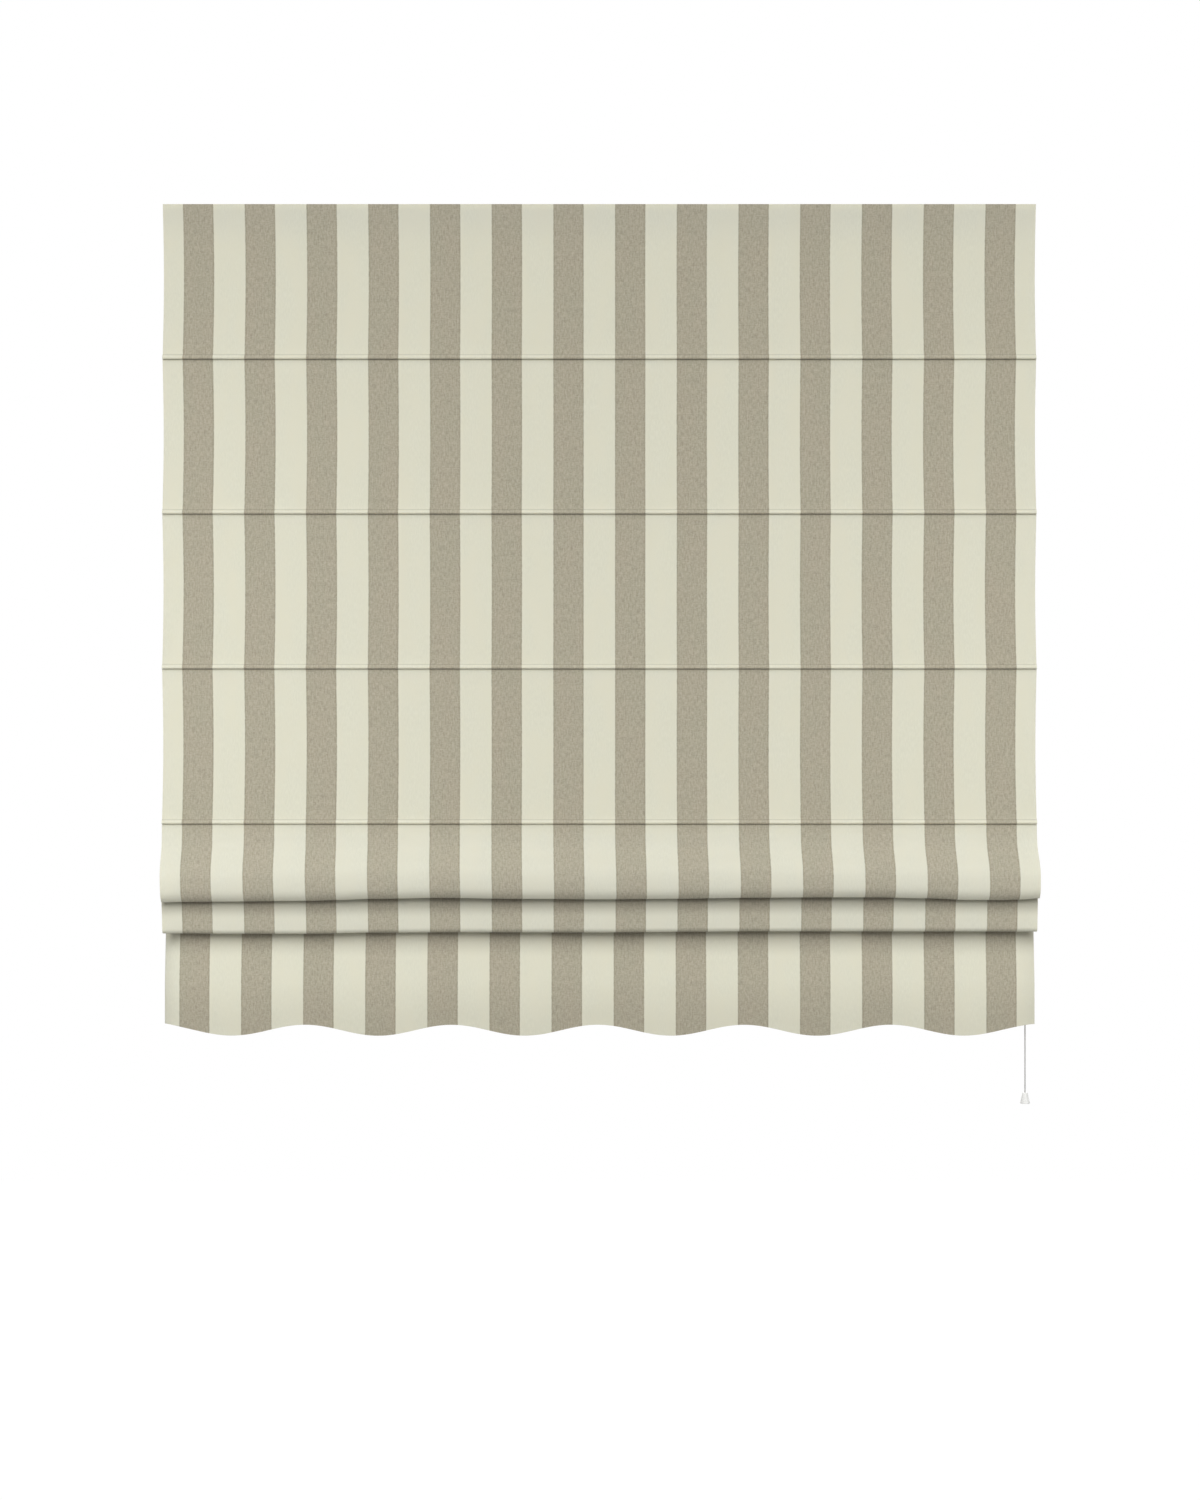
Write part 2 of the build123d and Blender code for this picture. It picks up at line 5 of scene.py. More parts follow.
import bmesh
import bpy
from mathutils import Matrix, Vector


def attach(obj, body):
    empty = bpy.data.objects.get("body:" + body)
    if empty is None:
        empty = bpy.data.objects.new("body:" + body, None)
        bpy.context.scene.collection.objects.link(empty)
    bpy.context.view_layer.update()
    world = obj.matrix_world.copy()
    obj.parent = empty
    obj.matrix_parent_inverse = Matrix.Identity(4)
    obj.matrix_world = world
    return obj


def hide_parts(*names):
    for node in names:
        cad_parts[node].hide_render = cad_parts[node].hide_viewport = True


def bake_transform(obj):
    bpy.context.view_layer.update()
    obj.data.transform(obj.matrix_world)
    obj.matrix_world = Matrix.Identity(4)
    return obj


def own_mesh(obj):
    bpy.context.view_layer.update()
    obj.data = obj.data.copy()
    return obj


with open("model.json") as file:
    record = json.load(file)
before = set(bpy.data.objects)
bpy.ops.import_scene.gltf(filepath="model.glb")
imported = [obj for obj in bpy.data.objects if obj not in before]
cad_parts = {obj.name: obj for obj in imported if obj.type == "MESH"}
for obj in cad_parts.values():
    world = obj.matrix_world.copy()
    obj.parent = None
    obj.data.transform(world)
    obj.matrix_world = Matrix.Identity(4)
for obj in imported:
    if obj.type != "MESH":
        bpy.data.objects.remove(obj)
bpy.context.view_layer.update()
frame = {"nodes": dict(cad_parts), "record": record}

NODES = frame["nodes"]
MM = 0.001

# Sizes in millimetres. In the cloth's section, a depth is how far a point lies in front of the cloth's top.
WIDTH = 1400.0
THICK = 1.0
TOP = 19.0
CLOTH_MID = -31.9
LINE_1 = -229.5
PITCH = 248.2
TUCKS = 4
LEAN = 2.0
PLY = 1.3
STACK = 15.0
LAST_LINE = LINE_1 - THICK / 2 - (TUCKS - 1) * PITCH
FOLD_END = LAST_LINE - 119.9
UNDER_FOLD_END = LAST_LINE - 173.9
ROD_COUNT = TUCKS + 2
ROD_R = 2.0
WEIGHT_ROD_R = 2.5
POCKET_ROOM = 0.6
POCKET_MOUTH = 1.36
POCKET_SHOULDER = 0.35
RING_REACH = 5.6
COLUMNS = [-600.0, -200.0, 200.0, 600.0]
LANES = [-19.1, -17.7, -16.3, -14.9]
RAIL_MID = -17.0
RUN = -1.5
PULL_X = 685.0
PULL_R = 1.1
CORD_R = 0.6
CORD_END = LINE_1 - (TUCKS - 1) * PITCH - 2 * STACK
STOP_TOP = CORD_END - PLY / 2 - 1.1
STOP_BORE = 7.0
CONNECTOR_TOP = -521.0
PULL_TOP = -537.0
PULL_END = -1416.4
STRIPE_PERIOD = 98.99
STRIPE_WIDTH = 48.6
HEM_LOW = LAST_LINE - 337.0
SCALLOP = 17.4
SCALLOPS = 6


def clamp(value, low=0.0, high=1.0):
    return max(low, min(high, value))


def smooth(value):
    value = clamp(value)
    return value * value * (3 - 2 * value)


def table(points, x):
    """A smooth line through a few (x, value) pairs."""
    xs = [p[0] for p in points]
    if x <= xs[0]:
        return points[0][1]
    if x >= xs[-1]:
        return points[-1][1]
    i = bisect.bisect_right(xs, x) - 1
    share = smooth((x - xs[i]) / (xs[i + 1] - xs[i]))
    return points[i][1] * (1 - share) + points[i + 1][1] * share


# The cloth's section

def rod_radius(rod):
    return WEIGHT_ROD_R if rod == ROD_COUNT else ROD_R


def pocket_radius(rod):
    return rod_radius(rod) + POCKET_ROOM + THICK / 2


def seam_height(rod):
    tucks = min(rod, TUCKS)
    return LINE_1 - (tucks - 1) * PITCH - (rod - tucks) * STACK


def plane_depth(rod):
    if rod <= TUCKS:
        return LEAN * rod
    return LEAN * TUCKS - 3.5 - 1.4 * (rod - TUCKS - 1)


def cord_y(height):
    return RAIL_MID - (RUN - height) / (RUN - seam_height(ROD_COUNT))


def pocket_centre(rod):
    height = seam_height(rod) - PLY / 2
    return CLOTH_MID - cord_y(height) + RING_REACH + THICK / 2 + pocket_radius(rod), height


def pocket(rod):
    depth, height = pocket_centre(rod)
    r = pocket_radius(rod)
    mouth, shoulder, back = depth + POCKET_MOUTH * r, depth + POCKET_SHOULDER * r, depth - r
    return [
        (mouth, height + PLY / 2, 1.0),
        (shoulder, height + r, r / 2),
        (back, height + r, r - 0.05),
        (back, height - r, r - 0.05),
        (shoulder, height - r, r / 2),
        (mouth, height - PLY / 2, 1.0),
    ]


def section_corners():
    """The corners of the cloth's middle line, each with its depth, height, bending radius and mark."""
    corners = [(0.0, TOP, 0, "top")]
    for rod in range(1, TUCKS + 1):
        depth, height = plane_depth(rod), seam_height(rod)
        corners.append((depth, height + 7.5, 5.0, f"lip_{rod}"))
        corners.append((depth + 3.5, height + 3.2, 2.5, ""))
        corners.append((depth + 3.5, height, 1.6, f"line_{rod}"))
        corners += [(d, h, r, "") for d, h, r in pocket(rod)]
        corners.append((depth, height - PLY, 1.0, f"turn_{rod}"))
    depth = plane_depth(TUCKS)
    crest_1, crest_2 = plane_depth(5), plane_depth(6)
    close_1, close_2 = seam_height(5) - 2 * STACK, seam_height(6) - 2 * STACK
    crests = {}
    for rod, ahead in ((5, crest_1), (6, crest_2)):
        crests[rod] = [(ahead + PLY, seam_height(rod), 2.3, f"crest_{rod}")]
        crests[rod] += [(d, h, r, "") for d, h, r in pocket(rod)]
        crests[rod].append((ahead, seam_height(rod) - PLY, 1.0, f"down_{rod}"))
    corners += [
        (depth + 1, LAST_LINE - STACK, 25.0, ""),
        (depth + 7, LAST_LINE - 36.1, 38.0, ""),
        (53.0, LAST_LINE - 75.9, 45.0, ""),
        (53.0, FOLD_END + 8, 20.0, ""),
        (43.0, FOLD_END, 5.0, "fold_1"),
        (35.0, FOLD_END, 5.0, ""),
        (35.0, FOLD_END + 20, 25.0, ""),
        (crest_1 + 7, close_1, 25.0, ""),
        *crests[5],
        (crest_1 + 4.2, close_1, 25.0, ""),
        (33.0, FOLD_END - STACK / 2, 15.0, ""),
        (33.0, UNDER_FOLD_END, 6.9, "fold_2"),
        (19.0, UNDER_FOLD_END, 6.9, ""),
        (19.0, UNDER_FOLD_END + 20, 25.0, ""),
        (crest_2 + 4.2, close_2, 25.0, ""),
        *crests[6],
        (crest_2 + 2.1, close_2, 25.0, ""),
        (19.0 - 4.2, UNDER_FOLD_END, 60.0, "flounce"),
        (24.0, LAST_LINE - 255.7, 120.0, ""),
        (24.0, HEM_LOW, 0, "hem"),
    ]
    return corners


def section_points(corners, run=9.0, turn=16.0):
    """Points along the rounded corners, as (depth, height, length so far), and the length at each mark."""
    points, marks = [], {}

    def add(p):
        if points and (Vector(points[-1][:2]) - p).length < 1e-5:
            return
        length = points[-1][2] + (Vector(points[-1][:2]) - p).length if points else 0.0
        points.append((p.x, p.y, length))

    def straight(stop):
        start = Vector(points[-1][:2])
        count = max(1, math.ceil((stop - start).length / run))
        for k in range(1, count + 1):
            add(start.lerp(stop, k / count))

    for i, (x, z, radius, mark) in enumerate(corners):
        here = Vector((x, z))
        if i == 0:
            add(here)
        elif i == len(corners) - 1:
            straight(here)
        else:
            before = (here - Vector(corners[i - 1][:2])).normalized()
            after = (Vector(corners[i + 1][:2]) - here).normalized()
            angle = before.angle(after)
            side = 1 if before.x * after.y - before.y * after.x > 0 else -1
            reach = radius * math.tan(angle / 2)
            centre = here - before * reach + Vector((-before.y, before.x)) * radius * side
            spoke = Vector((before.y, -before.x)) * side
            straight(centre + spoke * radius)
            steps = max(2, math.ceil(math.degrees(angle) / turn))
            for k in range(1, steps + 1):
                a = side * angle * k / steps
                turned = Vector((spoke.x * math.cos(a) - spoke.y * math.sin(a),
                                 spoke.x * math.sin(a) + spoke.y * math.cos(a)))
                add(centre + turned * radius)
        if mark:
            marks[mark] = points[-1][2]
    return points, marks


SECTION, MARKS = section_points(section_corners())
LENGTHS = [p[2] for p in SECTION]
CUT_LENGTH = LENGTHS[-1]


# How the hung cloth leaves its straight section

# How far each fold's lower edge is raised, at points across the width.
FOLD_1_LINE = [(-700, -3.4), (-668, -2.4), (-600, -2.0), (-470, -0.8), (-420, 0.4), (-370, 2.2), (-250, 4.0),
               (-130, 2.4), (0, 1.6), (110, 2.4), (240, 4.2), (360, 4.8), (440, 4.8), (520, 3.2), (590, 0.6),
               (640, 0.4), (673, 1.4), (700, 3.2)]
FOLD_2_LINE = [(-700, 0.5), (-660, 0.6), (-600, 0.0), (-460, 0.0), (-360, 1.8), (-200, 2.4), (0, 2.2),
               (150, 3.2), (240, 3.8), (600, 3.6), (660, 3.4), (700, 3.4)]
PANEL_ENDS = [("top", "line_1"), ("turn_1", "line_2"), ("turn_2", "line_3"), ("turn_3", "line_4")]
PANEL_PULL = 2.1
PANEL_WAVE = 0.55
# Each fold's start, lowest point and end, its lower line, its waves' depth and seed, and how far it draws
# in at the sides and lies to one side.
FOLDS = [
    ("turn_4", "fold_1", "crest_5", FOLD_1_LINE, 1.6, 7, 3.4, 1.9),
    ("down_5", "fold_2", "crest_6", FOLD_2_LINE, 1.0, 11, 4.2, 0.8),
]
FLOUNCE_GROWTH = 2.2
FLOUNCE_WAVE = 1.3
FLOUNCE_SEED = 13
FLOUNCE_SHIFT = -2.4
HEM_BAND = 95.0
# The flounce curls back at its sides, from here out, with these bending radii.
CURL_START = 650.0
CURL_LEFT = 56.0
CURL_RIGHT = 100.0


def between(s, start, end):
    """How far s is from one mark to another, or None outside them."""
    a, b = MARKS[start], MARKS[end]
    return (s - a) / (b - a) if a <= s <= b else None


def ripple(x, s, seed):
    """Slow, shallow waves of a hung cloth."""
    waves = [(0.0113, 0.0047, 0.9), (0.0071, -0.0083, 1.7), (0.0197, 0.0029, 2.6), (0.0317, 0.0101, 4.1)]
    return sum(math.sin(a * x + b * s + c * (seed + 1)) / (k + 1) for k, (a, b, c) in enumerate(waves)) / 2


def hang(x, depth, z, s):
    """Moves one point of the section, at x, to where the hung cloth has it."""
    pull, shift = 0.0, 0.0
    for seed, (start, end) in enumerate(PANEL_ENDS):
        t = between(s, start, end)
        if t is not None:
            bow = math.sin(math.pi * t)
            pull = PANEL_PULL * bow
            depth += PANEL_WAVE * bow * ripple(x, s, seed)
    for start, middle, end, line, wave, seed, fold_pull, fold_shift in FOLDS:
        t = between(s, start, end)
        if t is not None:
            mid = between(MARKS[middle], start, end)
            weight = smooth(1 - abs(t - mid) / (mid if t < mid else 1 - mid))
            z += table(line, x) * weight
            depth += wave * weight * ripple(x, s / 2, seed)
            pull, shift = fold_pull * weight, fold_shift * weight
    t = between(s, "down_6", "hem")
    if t is not None:
        weight = smooth(t * FLOUNCE_GROWTH)
        depth += FLOUNCE_WAVE * weight * ripple(x, s / 2, FLOUNCE_SEED)
        shift = FLOUNCE_SHIFT * weight
        z += hem_rise(x) * smooth((HEM_LOW + HEM_BAND - z) / HEM_BAND)
        over = abs(x) - CURL_START
        angle = over / (CURL_LEFT if x < 0 else CURL_RIGHT) * weight
        if angle > 1e-6:
            radius = over / angle
            depth -= radius * (1 - math.cos(angle))
            x = math.copysign(CURL_START + radius * math.sin(angle), x)
    x += shift - pull * x / (WIDTH / 2)
    return x * MM, (CLOTH_MID - depth) * MM, z * MM


def hem_rise(x):
    """How far the hem is above its lowest points."""
    period = WIDTH / SCALLOPS
    return SCALLOP / 2 * (1 + math.cos(2 * math.pi * (x + WIDTH / 2) / period))


def columns_of_x():
    """Where the cloth's columns of points stand, closer together where the flounce curls back."""
    inner = [-CURL_START + 2 * CURL_START * i / 200 for i in range(201)]
    outer = [CURL_START + (WIDTH / 2 - CURL_START) * k / 10 for k in range(1, 11)]
    return [-x for x in reversed(outer)] + inner + outer


XS = columns_of_x()
HEM_BACK = 30.0


def cloth_piece(name, start, end, body):
    """The stretch of cloth from one length of the section to another, with its face, back and edges."""
    rows = [p for p in SECTION if start <= p[2] <= end]
    mesh = bpy.data.meshes.new(name)
    bm = bmesh.new()
    uv = bm.loops.layers.uv.new("metres")
    grids = {}
    first = SECTION.index(rows[0])
    for side in (1, -1):
        grid = []
        for j, (depth, z, s) in enumerate(rows):
            i = first + j
            a, b = SECTION[max(i - 1, 0)], SECTION[min(i + 1, len(SECTION) - 1)]
            along = Vector((b[0] - a[0], b[1] - a[1])).normalized()
            normal = Vector((-along.y, along.x))
            off = side * THICK / 2
            grid.append([bm.verts.new(hang(x, depth + normal.x * off, z + normal.y * off, s)) for x in XS])
        grids[side] = grid
    length = [p[2] for p in rows]

    def face(verts, coords, material):
        f = bm.faces.new(verts)
        f.material_index = material
        f.smooth = True
        for loop, (u, v) in zip(f.loops, coords):
            loop[uv].uv = (u * MM, v * MM)
        return f

    last_row, last_x = len(rows) - 1, len(XS) - 1
    for j in range(last_row):
        for i in range(last_x):
            near, far = XS[i], XS[i + 1]
            box = [(near, length[j]), (far, length[j]), (far, length[j + 1]), (near, length[j + 1])]
            f, b = grids[1], grids[-1]
            at_side = min(abs(near), abs(far)) > WIDTH / 2 - HEM_BACK - 1
            hem = at_side or length[j] > CUT_LENGTH - HEM_BACK
            face([f[j][i], f[j][i + 1], f[j + 1][i + 1], f[j + 1][i]][::-1], box[::-1], 0)
            face([b[j][i], b[j][i + 1], b[j + 1][i + 1], b[j + 1][i]], box, 2 if hem else 1)
    for i, turned in ((0, True), (last_x, False)):
        for j in range(last_row):
            quad = [grids[1][j][i], grids[-1][j][i], grids[-1][j + 1][i], grids[1][j + 1][i]]
            box = [(XS[i], length[j])] * 2 + [(XS[i], length[j + 1])] * 2
            face(quad if turned else quad[::-1], box if turned else box[::-1], 0)
    for j, turned in ((0, False), (last_row, True)):
        for i in range(last_x):
            quad = [grids[1][j][i], grids[-1][j][i], grids[-1][j][i + 1], grids[1][j][i + 1]]
            box = [(XS[i], length[j])] * 2 + [(XS[i + 1], length[j])] * 2
            face(quad if turned else quad[::-1], box if turned else box[::-1], 0)
    bmesh.ops.recalc_face_normals(bm, faces=bm.faces)
    bm.to_mesh(mesh)
    bm.free()
    piece = bpy.data.objects.new(name, mesh)
    bpy.context.scene.collection.objects.link(piece)
    for material in (CLOTH, LINING, TURNED):
        mesh.materials.append(material)
    mesh.set_sharp_from_angle(angle=math.radians(60))
    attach(piece, body)
    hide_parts("face_fabric")
    return piece, rows


# Materials

def linear(rgb):
    """An sRGB colour, 0 to 255, as the shader takes it."""
    values = [c / 255 for c in rgb]
    return tuple(c / 12.92 if c <= 0.04045 else ((c + 0.055) / 1.055) ** 2.4 for c in values) + (1.0,)


class Graph:
    """A few short calls that build one material's nodes."""

    def __init__(self, name):
        self.material = bpy.data.materials.new(name)
        self.material.use_nodes = True
        self.tree = self.material.node_tree
        self.shader = self.tree.nodes["Principled BSDF"]

    def link(self, value, socket):
        if isinstance(value, bpy.types.NodeSocket):
            self.tree.links.new(value, socket)
        else:
            socket.default_value = value

    def node(self, kind, **inputs):
        node = self.tree.nodes.new(kind)
        for key, value in inputs.items():
            self.link(value, node.inputs[key])
        return node

    def uv(self):
        return self.node("ShaderNodeUVMap").outputs["UV"]

    def place(self):
        return self.node("ShaderNodeTexCoord").outputs["Object"]

    def scaled(self, vector, scale):
        node = self.tree.nodes.new("ShaderNodeMapping")
        self.link(vector, node.inputs["Vector"])
        node.inputs["Scale"].default_value = scale
        return node.outputs["Vector"]

    def split(self, vector):
        return self.node("ShaderNodeSeparateXYZ", Vector=vector).outputs

    def noise(self, vector, scale=1.0, detail=2.0, roughness=0.5):
        inputs = {"Vector": vector, "Scale": scale, "Detail": detail, "Roughness": roughness}
        return self.node("ShaderNodeTexNoise", **inputs).outputs["Fac"]

    def math(self, operation, a, b=0.0, c=0.0):
        node = self.tree.nodes.new("ShaderNodeMath")
        node.operation = operation
        for socket, value in zip(node.inputs, (a, b, c)):
            self.link(value, socket)
        return node.outputs[0]

    def ramp(self, value, low, high, to_low=0.0, to_high=1.0):
        node = self.tree.nodes.new("ShaderNodeMapRange")
        node.interpolation_type = "SMOOTHSTEP"
        for key, v in (("Value", value), ("From Min", low), ("From Max", high), ("To Min", to_low),
                       ("To Max", to_high)):
            self.link(v, node.inputs[key])
        return node.outputs[0]

    def mix(self, share, a, b, blend="MIX"):
        node = self.tree.nodes.new("ShaderNodeMix")
        node.data_type = "RGBA"
        node.blend_type = blend
        self.link(share, node.inputs["Factor"])
        self.link(a, node.inputs["A"])
        self.link(b, node.inputs["B"])
        return node.outputs["Result"]

    def bump(self, height, distance, strength=1.0):
        node = self.node("ShaderNodeBump", Height=height, Distance=distance, Strength=strength)
        return node.outputs["Normal"]

    def finish(self, colour, normal=None, **values):
        self.link(colour, self.shader.inputs["Base Color"])
        if normal is not None:
            self.link(normal, self.shader.inputs["Normal"])
        for key, value in values.items():
            self.link(value, self.shader.inputs[key.replace("_", " ")])
        return self.material


# Cloth this thin lets a little light into its folds.
THIN = {"Subsurface_Weight": 0.3, "Subsurface_Radius": (1.0, 0.95, 0.85), "Subsurface_Scale": 0.002}


def weave(g, coords, pitch):
    """Warp and weft threads as a height from 0 to 1, with uneven thread widths."""
    u, v, _ = g.split(coords)
    wobble = g.noise(g.scaled(coords, (90, 90, 1)), detail=1.0)
    turns = 2 * math.pi / pitch
    warp = g.math("SINE", g.math("MULTIPLY_ADD", u, turns, g.math("MULTIPLY", wobble, 3.0)))
    weft = g.math("SINE", g.math("MULTIPLY_ADD", v, turns, g.math("MULTIPLY", wobble, 3.0)))
    return g.math("MULTIPLY_ADD", g.math("MULTIPLY", warp, weft), 0.5, 0.5)


def painted_crease_shade():
    """Where shade is painted on the cloth, as four lengths and a share: it rises between the first two and
    fades between the last two. The painted shade stands for the stitched groove above each tuck, where light
    falls less, for the little light that gets under a tuck or under a fold, and for the double hem, which no
    light comes through."""
    shade_bands = []
    for rod in range(1, TUCKS + 1):
        groove, seam, turn = MARKS[f"lip_{rod}"], MARKS[f"line_{rod}"], MARKS[f"turn_{rod}"]
        # Painted shade in the groove above each tuck, and under each tuck.
        shade_bands.append((groove - 1.9, groove - 0.7, groove + 0.7, groove + 1.9, 0.2))
        shade_bands.append((seam + 2, seam + 4, turn - 1, turn + 6, 0.1))
    # Painted shade under each fold.
    for before, after, height, fade, share in (
        ("down_5", "fold_2", FOLD_END, 26, 0.42),
        ("down_6", "hem", UNDER_FOLD_END, 40, 0.36),
    ):
        front = [p[2] for p in SECTION if MARKS[before] <= p[2] <= MARKS[after] and p[1] <= height][0]
        shade_bands.append((MARKS[before], MARKS[before] + 10, front, front + fade, share))
    # Painted shade along the double hem.
    shade_bands.append((CUT_LENGTH - 80, CUT_LENGTH - 10, CUT_LENGTH + 10, CUT_LENGTH + 20, 0.08))
    return shade_bands


def cloth_material(name, shade_bands):
    g = Graph(name)
    coords = g.uv()
    u = g.split(coords)[0]
    period, half = STRIPE_PERIOD * MM, STRIPE_WIDTH * MM / 2
    edge = g.math("MULTIPLY_ADD", g.noise(g.scaled(coords, (300, 160, 1)), detail=3.0), 0.0012, -0.0006)
    turn = g.math("FRACT", g.math("MULTIPLY_ADD", u, 1 / period, 100.0))
    away = g.math("ADD", g.math("MULTIPLY", g.math("ABSOLUTE", g.math("SUBTRACT", turn, 0.5)), period), edge)
    taupe = g.ramp(away, half + 0.0005, half - 0.0005)
    fleck = g.noise(g.scaled(coords, (460, 120, 1)), detail=3.0, roughness=0.65)
    slub = g.noise(g.scaled(coords, (900, 60, 1)), detail=2.0)
    cloud = g.noise(g.scaled(coords, (26, 9, 1)), detail=2.0)
    warm = g.mix(g.ramp(cloud, 0.3, 0.7), linear((168, 164, 145)), linear((173, 164, 146)))
    across = g.noise(g.scaled(coords, (190, 520, 1)), detail=2.0, roughness=0.6)
    grain = g.math("MULTIPLY_ADD", across, 0.4, g.math("MULTIPLY", fleck, 0.6))
    dark = g.mix(g.ramp(grain, 0.34, 0.68), linear((142, 136, 119)), linear((198, 192, 172)))
    brown = g.mix(0.6, warm, dark)
    brown = g.mix(g.ramp(slub, 0.35, 0.75, 0.0, 0.6), brown, linear((184, 178, 158)))
    border = g.math("MULTIPLY", g.ramp(away, half - 0.0036, half - 0.0016), 0.12)
    brown = g.mix(border, brown, linear((112, 108, 88)))
    cream = g.mix(g.ramp(fleck, 0.3, 0.75), linear((217, 216, 199)), linear((223, 222, 205)))
    cream = g.mix(g.ramp(cloud, 0.35, 0.7), cream, linear((221, 219, 201)))
    colour = g.mix(taupe, cream, brown)
    v = g.split(coords)[1]
    # Painted shade: each band darkens the cloth towards a dark brown in the grooves, under the tucks and
    # folds, and along the hem.
    for start, full, fade, end, share in shade_bands:
        painted_shade = g.math("MULTIPLY", g.ramp(v, start * MM, full * MM), g.ramp(v, fade * MM, end * MM, share, 0.0))
        colour = g.mix(painted_shade, colour, linear((70, 64, 50)))
    threads = weave(g, coords, 0.0011)
    colour = g.mix(0.07, colour, g.mix(threads, linear((60, 56, 46)), linear((255, 253, 240))), "SOFT_LIGHT")
    height = g.math("ADD", g.math("MULTIPLY", threads, 0.6), g.math("MULTIPLY", fleck, 0.7))
    normal = g.bump(height, 0.00022, 0.55)
    return g.finish(colour, normal, Roughness=0.86, Sheen_Weight=0.12, Sheen_Roughness=0.5, **THIN)


def lining_material():
    g = Graph("cotton_lining")
    coords = g.uv()
    threads = weave(g, coords, 0.0007)
    slub = g.noise(g.scaled(coords, (700, 40, 1)), detail=2.0)
    cloud = g.noise(g.scaled(coords, (7, 5, 1)), detail=2.0)
    colour = g.mix(g.ramp(cloud, 0.3, 0.7), linear((237, 233, 223)), linear((240, 237, 228)))
    colour = g.mix(g.ramp(slub, 0.4, 0.75, 0.0, 0.5), colour, linear((228, 223, 210)))
    colour = g.mix(0.08, colour, g.mix(threads, linear((90, 86, 76)), linear((255, 255, 250))), "SOFT_LIGHT")
    normal = g.bump(threads, 0.00012, 0.5)
    return g.finish(colour, normal, Roughness=0.9, Sheen_Weight=0.08, **THIN)


def plastic_material(name, rgb, roughness=0.42, through=0.0):
    g = Graph(name)
    coords = g.place()
    mottle = g.noise(g.scaled(coords, (160, 160, 160)), detail=3.0)
    grain = g.noise(g.scaled(coords, (2600, 2600, 2600)), detail=2.0)
    shade = tuple(max(0, c - 7) for c in rgb)
    colour = g.mix(g.ramp(mottle, 0.3, 0.7), linear(shade), linear(rgb))
    rough = g.ramp(grain, 0.2, 0.8, roughness - 0.06, roughness + 0.06)
    return g.finish(colour, g.bump(grain, 0.00003, 0.5), Roughness=rough, Subsurface_Weight=through)


def coated_material():
    g = Graph("powder_coat")
    coords = g.place()
    peel = g.noise(g.scaled(coords, (420, 420, 420)), detail=2.0)
    cloud = g.noise(g.scaled(coords, (14, 60, 60)), detail=2.0)
    colour = g.mix(g.ramp(cloud, 0.3, 0.7), linear((233, 232, 228)), linear((240, 239, 236)))
    return g.finish(colour, g.bump(peel, 0.00005, 0.5), Roughness=g.ramp(peel, 0.2, 0.8, 0.3, 0.4))


def zinc_material():
    g = Graph("zinc_plate")
    coords = g.place()
    brushed = g.noise(g.scaled(coords, (60, 900, 900)), detail=3.0)
    bloom = g.noise(g.scaled(coords, (110, 110, 110)), detail=3.0)
    colour = g.mix(g.ramp(bloom, 0.3, 0.7), linear((176, 179, 182)), linear((205, 206, 207)))
    rough = g.ramp(brushed, 0.25, 0.75, 0.26, 0.42)
    return g.finish(colour, g.bump(brushed, 0.00002, 0.6), Roughness=rough, Metallic=0.95)


def tape_material():
    g = Graph("hook_and_loop")
    coords = g.place()
    nap = g.noise(g.scaled(coords, (1500, 1500, 1500)), detail=3.0, roughness=0.7)
    rows = g.noise(g.scaled(coords, (120, 700, 700)), detail=2.0)
    colour = g.mix(g.ramp(nap, 0.3, 0.7), linear((210, 208, 200)), linear((238, 237, 232)))
    colour = g.mix(0.2, colour, g.mix(rows, linear((190, 188, 180)), linear((245, 244, 240))))
    return g.finish(colour, g.bump(nap, 0.0004, 0.7), Roughness=0.95, Sheen_Weight=0.3)


def braid_material(name, pitch, rgb):
    """Braided cord: two sets of strands that cross along the cord."""
    g = Graph(name)
    u, v, _ = g.split(g.uv())
    along = g.math("MULTIPLY", v, 2 * math.pi / pitch)
    round_it = g.math("MULTIPLY", u, 8 * math.pi)
    left = g.math("SINE", g.math("ADD", along, round_it))
    right = g.math("SINE", g.math("SUBTRACT", along, round_it))
    strands = g.math("MULTIPLY_ADD", g.math("MAXIMUM", left, right), 0.5, 0.5)
    colour = g.mix(g.ramp(strands, 0.2, 0.9), linear(tuple(c - 42 for c in rgb)), linear(rgb))
    return g.finish(colour, g.bump(strands, 0.0001, 0.6), Roughness=0.75, Sheen_Weight=0.1)


def rod_material():
    g = Graph("glass_fibre")
    coords = g.place()
    fibres = g.noise(g.scaled(coords, (8, 2600, 2600)), detail=3.0)
    colour = g.mix(g.ramp(fibres, 0.3, 0.7), linear((214, 212, 198)), linear((232, 230, 218)))
    return g.finish(colour, g.bump(fibres, 0.00003, 0.5), Roughness=0.38)


# The striped cloth gets the painted shade bands; the turned hem gets none.
CLOTH = cloth_material("striped_cloth", painted_crease_shade())
TURNED = cloth_material("turned_hem", [])
LINING = lining_material()
WHITE = plastic_material("white_plastic", (238, 238, 235))
FROSTED = plastic_material("clear_plastic", (222, 224, 224), roughness=0.3, through=0.15)
COATED = coated_material()
ZINC = zinc_material()
TAPE = tape_material()
BRAID = braid_material("lift_braid", 0.0018, (236, 235, 231))
PULL_BRAID = braid_material("pull_braid", 0.0032, (206, 205, 203))
THREAD = plastic_material("sewing_thread", (232, 229, 216), roughness=0.7)
FIBRE = rod_material()

BY_SLOT = {
    "rail": COATED,
    "white_plastic": WHITE,
    "clear_plastic": FROSTED,
    "zinc_steel": ZINC,
    "tape": TAPE,
    "rod_plastic": FIBRE,
    "cord": BRAID,
    "cloth": CLOTH,
}
for part in frame["record"]["subparts"]:
    node = NODES[part["node"]]
    for slot in node.material_slots:
        slot.material = BY_SLOT[part["material_slot"]]


# Cloth pieces, cut inside the seams

CUT_INSIDE = 4.0
ROD_BODIES = ["rod_1", "rod_2", "rod_3", "stack", "stack", "stack"]


